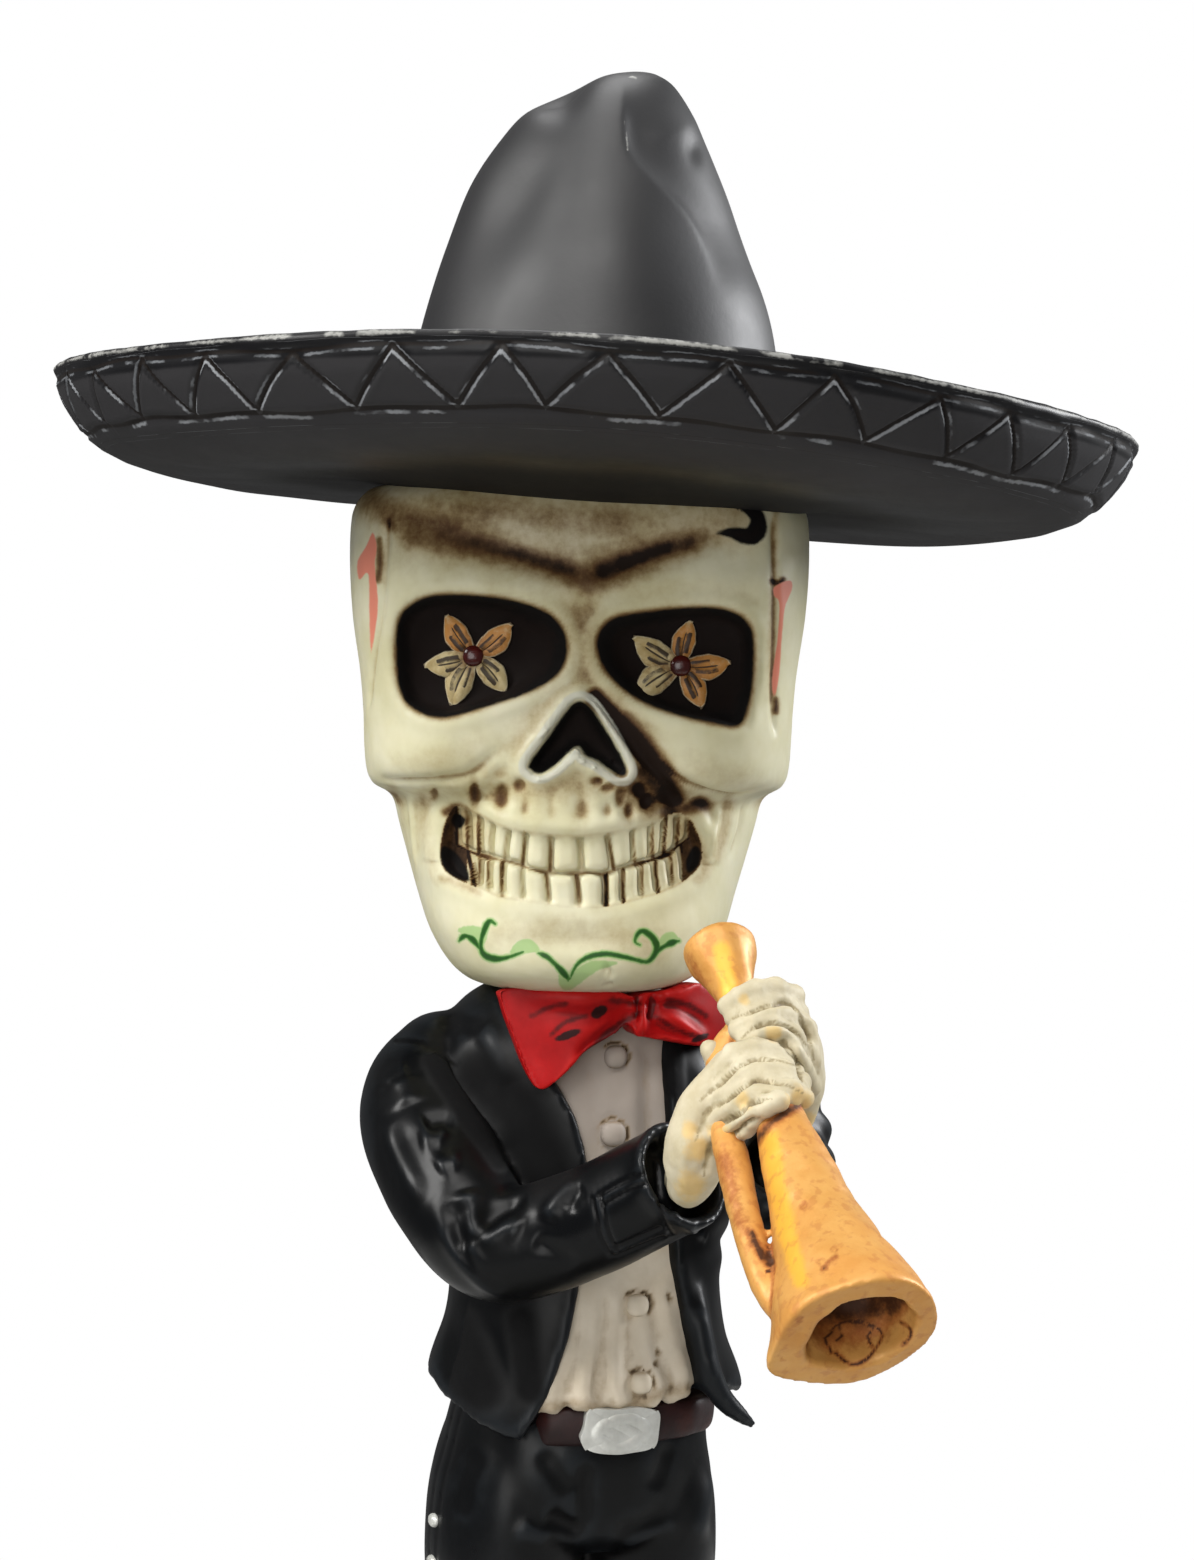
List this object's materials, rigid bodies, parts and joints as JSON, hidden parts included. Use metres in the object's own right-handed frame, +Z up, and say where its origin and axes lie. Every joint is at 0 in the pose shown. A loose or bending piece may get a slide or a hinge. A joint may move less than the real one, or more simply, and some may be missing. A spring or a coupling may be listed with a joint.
{
  "type": "day of the dead skeleton figure",
  "caption": "Standing skeleton musician figure with a big skull, wide sombrero, short jacket, bow tie and trumpet, on a low round base.",
  "frame": {"origin": "centre of the round base's flat underside", "axes": "+Z up, through the figure; the body faces -Y and its right hand is on the -X side"},
  "size_m": [0.0976, 0.1079, 0.1749],
  "materials": {
    "painted_bone": "hand-painted cast resin, waxy gloss on the bone, satin black on the hat",
    "painted_suit": "hand-painted cast resin, glossy blue-black suit with gold, red, cream and silver paint"
  },
  "bodies": {
    "root": {"head_with_sombrero": "painted_bone", "body_with_base": "painted_suit"}
  },
  "joints": []
}
